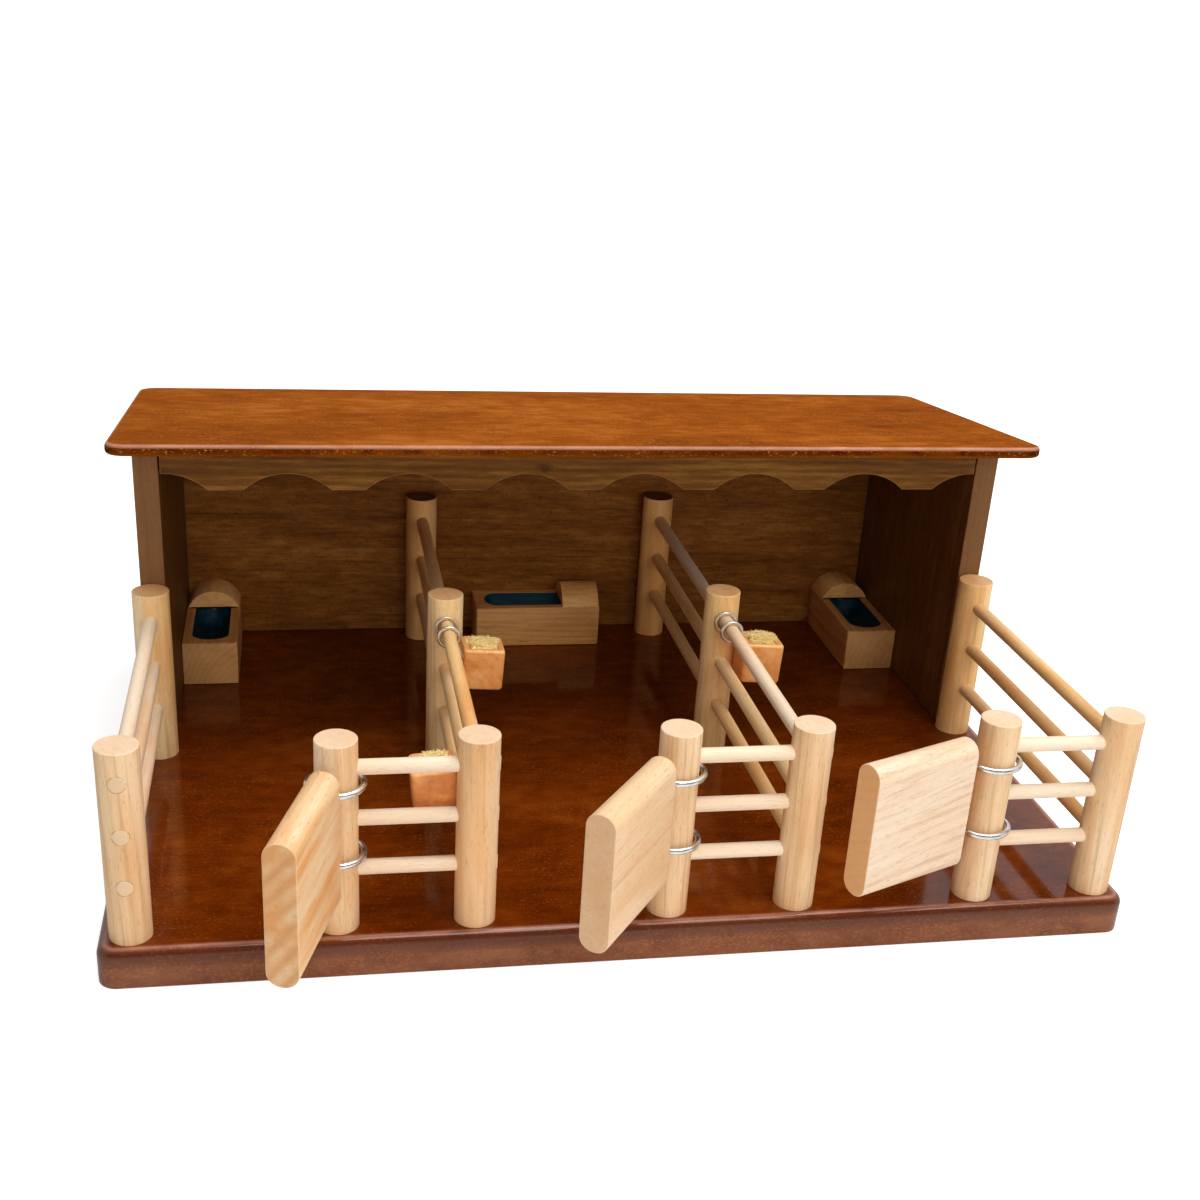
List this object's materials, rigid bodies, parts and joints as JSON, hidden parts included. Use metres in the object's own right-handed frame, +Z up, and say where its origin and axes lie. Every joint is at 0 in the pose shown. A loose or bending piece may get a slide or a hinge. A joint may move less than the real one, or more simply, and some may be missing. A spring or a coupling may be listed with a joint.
{
  "type": "toy stable",
  "caption": "Open-fronted wooden toy stable on a base board, with a railed yard parted into stalls, slab gates on screw eyes, hung feed boxes, slotted troughs and a sloping roof.",
  "frame": {"origin": "centre of the base board's underside", "axes": "+X to the right along the front, +Y from the yard to the back wall, +Z up"},
  "size_m": [0.452, 0.396, 0.1832],
  "materials": {
    "base_stain": "glossy dark red-brown stain",
    "roof_stain": "semi-gloss orange-brown stain with fine grain",
    "wall_stain": "satin brown stain with horizontal grain",
    "fascia_wood": "satin mid-brown wood with a small knot",
    "post_wood": "satin natural light wood with upright grain",
    "rail_wood": "satin pale dowel wood",
    "gate_wood": "satin pale wood with grain along the leaf",
    "feed_wood": "satin orange-stained wood",
    "trough_wood": "satin brown wood",
    "eye_steel": "bright zinc-plated steel",
    "slot_paint": "dark blue paint in the troughs' slots",
    "hay": "matt dry yellow straw"
  },
  "bodies": {
    "stable_frame": {"base_board": "base_stain", "left_wall": "wall_stain", "right_wall": "wall_stain", "back_wall": "wall_stain", "roof_panel": "roof_stain", "fascia_board": "fascia_wood", "left_front_post": "post_wood", "left_rear_post": "post_wood", "right_front_post": "post_wood", "right_rear_post": "post_wood", "left_divider_front_post": "post_wood", "left_divider_middle_post": "post_wood", "left_divider_rear_post": "post_wood", "right_divider_front_post": "post_wood", "right_divider_middle_post": "post_wood", "right_divider_rear_post": "post_wood", "left_gate_post": "post_wood", "middle_gate_post": "post_wood", "right_gate_post": "post_wood", "left_side_rail_top": "rail_wood", "left_side_rail_middle": "rail_wood", "left_side_rail_bottom": "rail_wood", "right_side_rail_top": "rail_wood", "right_side_rail_middle": "rail_wood", "right_side_rail_bottom": "rail_wood", "left_divider_rail_top": "rail_wood", "left_divider_rail_middle": "rail_wood", "left_divider_rail_bottom": "rail_wood", "right_divider_rail_top": "rail_wood", "right_divider_rail_middle": "rail_wood", "right_divider_rail_bottom": "rail_wood", "left_front_rail_top": "rail_wood", "left_front_rail_middle": "rail_wood", "left_front_rail_bottom": "rail_wood", "middle_front_rail_top": "rail_wood", "middle_front_rail_middle": "rail_wood", "middle_front_rail_bottom": "rail_wood", "right_front_rail_top": "rail_wood", "right_front_rail_middle": "rail_wood", "right_front_rail_bottom": "rail_wood", "left_trough": "trough_wood", "middle_trough": "trough_wood", "right_trough": "trough_wood"},
    "left_gate_leaf": {"left_gate": "gate_wood", "left_gate_upper_eye": "eye_steel", "left_gate_lower_eye": "eye_steel"},
    "middle_gate_leaf": {"middle_gate": "gate_wood", "middle_gate_upper_eye": "eye_steel", "middle_gate_lower_eye": "eye_steel"},
    "right_gate_leaf": {"right_gate": "gate_wood", "right_gate_upper_eye": "eye_steel", "right_gate_lower_eye": "eye_steel"},
    "left_feed": {"left_feed_box": "feed_wood", "left_feed_box_hanger": "eye_steel"},
    "middle_feed": {"middle_feed_box": "feed_wood", "middle_feed_box_hanger": "eye_steel"},
    "right_feed": {"right_feed_box": "feed_wood", "right_feed_box_hanger": "eye_steel"}
  },
  "joints": [
    {"name": "left_gate_hinge", "type": "hinge", "parent": "stable_frame", "child": "left_gate_leaf", "pos_m": [-0.12784, -0.1551, 0.0375], "axis": [0, 0, 1], "range_deg": [-199.7, 75.3]},
    {"name": "middle_gate_hinge", "type": "hinge", "parent": "stable_frame", "child": "middle_gate_leaf", "pos_m": [0.01323, -0.1551, 0.0375], "axis": [0, 0, 1], "range_deg": [-183.1, 94.9]},
    {"name": "right_gate_hinge", "type": "hinge", "parent": "stable_frame", "child": "right_gate_leaf", "pos_m": [0.1543, -0.1551, 0.0375], "axis": [0, 0, 1], "range_deg": [-152.3, 125.7]},
    {"name": "left_feed_slide", "type": "slide", "parent": "stable_frame", "child": "left_feed", "axis": [0, 1, 0], "range_m": [0, 0.1058]},
    {"name": "middle_feed_slide", "type": "slide", "parent": "stable_frame", "child": "middle_feed", "axis": [0, 1, 0], "range_m": [-0.1058, 0]},
    {"name": "right_feed_slide", "type": "slide", "parent": "stable_frame", "child": "right_feed", "axis": [0, 1, 0], "range_m": [-0.1198, 0]}
  ]
}
